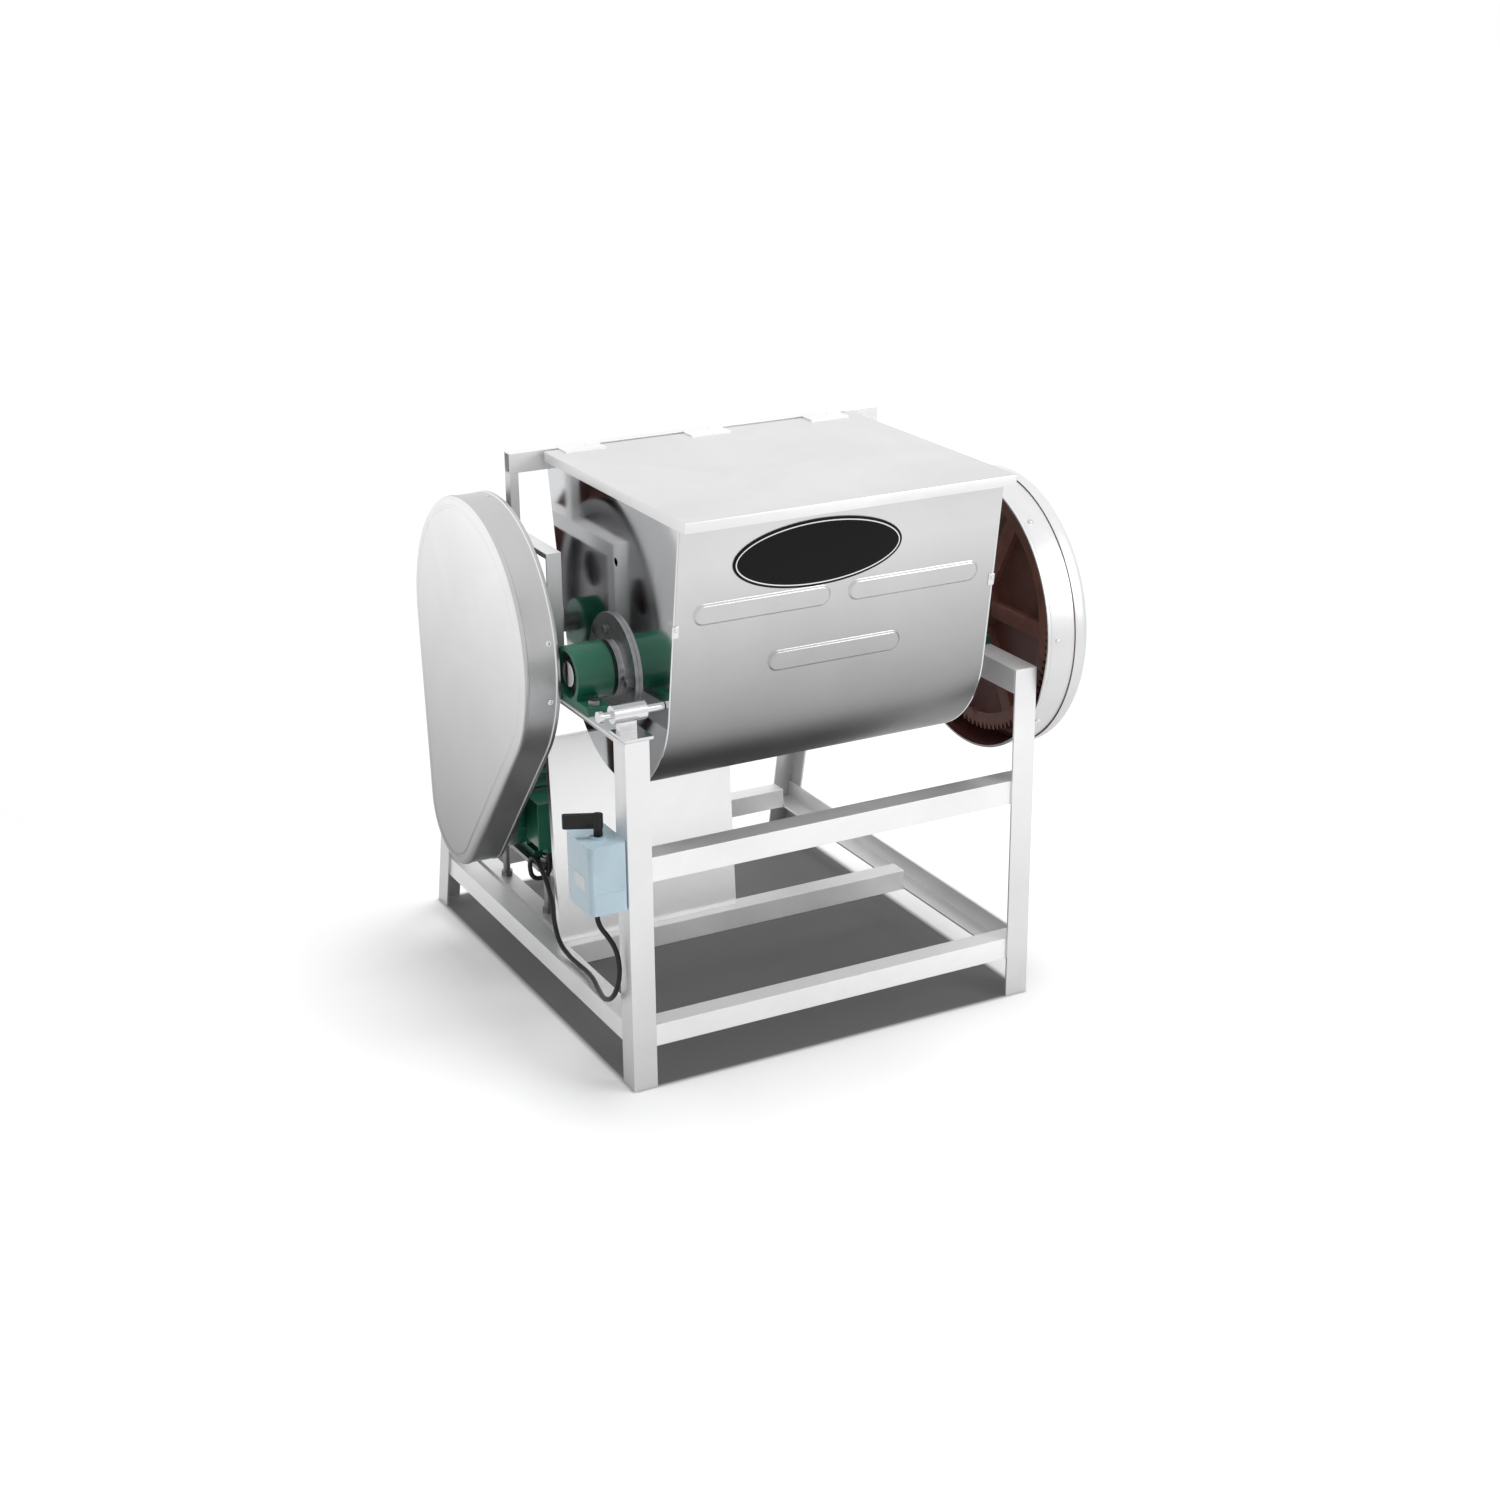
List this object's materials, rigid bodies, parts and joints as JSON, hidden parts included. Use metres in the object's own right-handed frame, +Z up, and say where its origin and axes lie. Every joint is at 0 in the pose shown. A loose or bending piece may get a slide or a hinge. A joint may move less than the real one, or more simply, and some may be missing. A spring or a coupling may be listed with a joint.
{
  "type": "dough mixer",
  "caption": "Horizontal dough mixer: a U-shaped lidded bowl tilts in a stand of angle iron and is stirred through a belt stage and a covered gear stage.",
  "frame": {"origin": "centre of the bounding box's footprint at floor level", "axes": "+X toward the gear cover's side, +Y from the front of the bowl to the back, +Z up"},
  "size_m": [0.8835, 0.876, 0.9038],
  "materials": {
    "stainless": "satin stainless steel",
    "polished": "mirror-polished stainless steel",
    "cover_sheet": "pale satin sheet, dark red-brown inside",
    "green_paint": "gloss green paint",
    "gear_iron": "dark red-brown primer",
    "dark_steel": "plain machined steel",
    "bronze": "turned bronze",
    "seal": "white food-grade seal",
    "belt": "black belt rubber",
    "pale_blue": "pale blue enamel",
    "black_plastic": "black moulded plastic",
    "cable": "black cable sheath"
  },
  "bodies": {
    "frame": {"front_left_leg": "stainless", "front_right_leg": "stainless", "rear_left_leg": "stainless", "rear_right_leg": "stainless", "left_deck_rail": "stainless", "right_deck_rail": "stainless", "rear_deck_rail": "stainless", "front_middle_rail": "stainless", "front_low_rail": "stainless", "left_low_rail": "stainless", "right_low_rail": "stainless", "low_cross_rails": "stainless", "side_frames": "stainless", "rear_posts": "stainless", "back_rail": "stainless", "splash_panel": "cover_sheet", "motor_bearers": "stainless", "motor_plate": "dark_steel", "tension_studs": "dark_steel", "left_main_housing": "green_paint", "right_main_housing": "green_paint", "main_bearings": "dark_steel", "housing_bolts": "dark_steel", "counter_housings": "green_paint", "counter_bearings": "dark_steel", "belts": "belt", "belt_cover": "cover_sheet", "gear_cover_band": "cover_sheet", "gear_cover_cap": "cover_sheet", "cover_tabs": "stainless", "motor_body": "green_paint", "fan_cowl": "green_paint", "terminal_box": "green_paint", "switch_box": "pale_blue", "latch": "stainless", "power_cable": "cable"},
    "bowl": {"bowl_wrapper": "stainless", "bowl_left_end": "polished", "bowl_right_end": "polished", "hub_flanges": "polished", "hub_bolts": "dark_steel", "bowl_bushes": "bronze", "shaft_seals": "seal", "bowl_hinge_leaves": "stainless", "hinge_pins": "dark_steel"},
    "lid": {"lid": "stainless", "lid_hinge_leaves": "stainless"},
    "agitator": {"main_shaft": "stainless", "stirring_bars": "stainless", "stirring_arms": "stainless", "main_gear": "gear_iron", "gear_washer": "dark_steel"},
    "layshaft": {"countershaft": "dark_steel", "large_pulley": "dark_steel", "pinion": "dark_steel"},
    "rotor": {"motor_shaft": "dark_steel", "motor_pulley": "dark_steel", "motor_fan": "black_plastic"},
    "plunger": {"latch_plunger": "stainless"},
    "handle": {"switch_handle": "black_plastic"}
  },
  "joints": [
    {"name": "bowl_tilt", "type": "hinge", "parent": "frame", "child": "bowl", "pos_m": [-0.00225, -0.184, 0.616], "axis": [1, 0, 0], "range_deg": [0, 90]},
    {"name": "lid_hinge", "type": "hinge", "parent": "bowl", "child": "lid", "pos_m": [-0.00225, 0.0578, 0.8993], "axis": [-1, 0, 0], "range_deg": [0, 120]},
    {"name": "mixer_spin", "type": "hinge", "parent": "frame", "child": "agitator", "pos_m": [-0.00225, -0.184, 0.616], "axis": [1, 0, 0], "continuous": true},
    {"name": "counter_spin", "type": "hinge", "parent": "frame", "child": "layshaft", "pos_m": [-0.00225, 0.056, 0.616], "axis": [1, 0, 0], "continuous": true},
    {"name": "motor_spin", "type": "hinge", "parent": "frame", "child": "rotor", "pos_m": [-0.26225, 0.166, 0.287], "axis": [1, 0, 0], "continuous": true},
    {"name": "plunger_slide", "type": "slide", "parent": "frame", "child": "plunger", "axis": [1, 0, 0], "range_m": [0, 0.012]},
    {"name": "switch_turn", "type": "hinge", "parent": "frame", "child": "handle", "pos_m": [-0.39325, -0.3568, 0.43], "axis": [0, 0, 1], "range_deg": [-60, 60]}
  ],
  "couplings": [
    {"joint": "counter_spin", "follows": "mixer_spin", "ratio": -6.5},
    {"joint": "motor_spin", "follows": "mixer_spin", "ratio": -24.7}
  ]
}
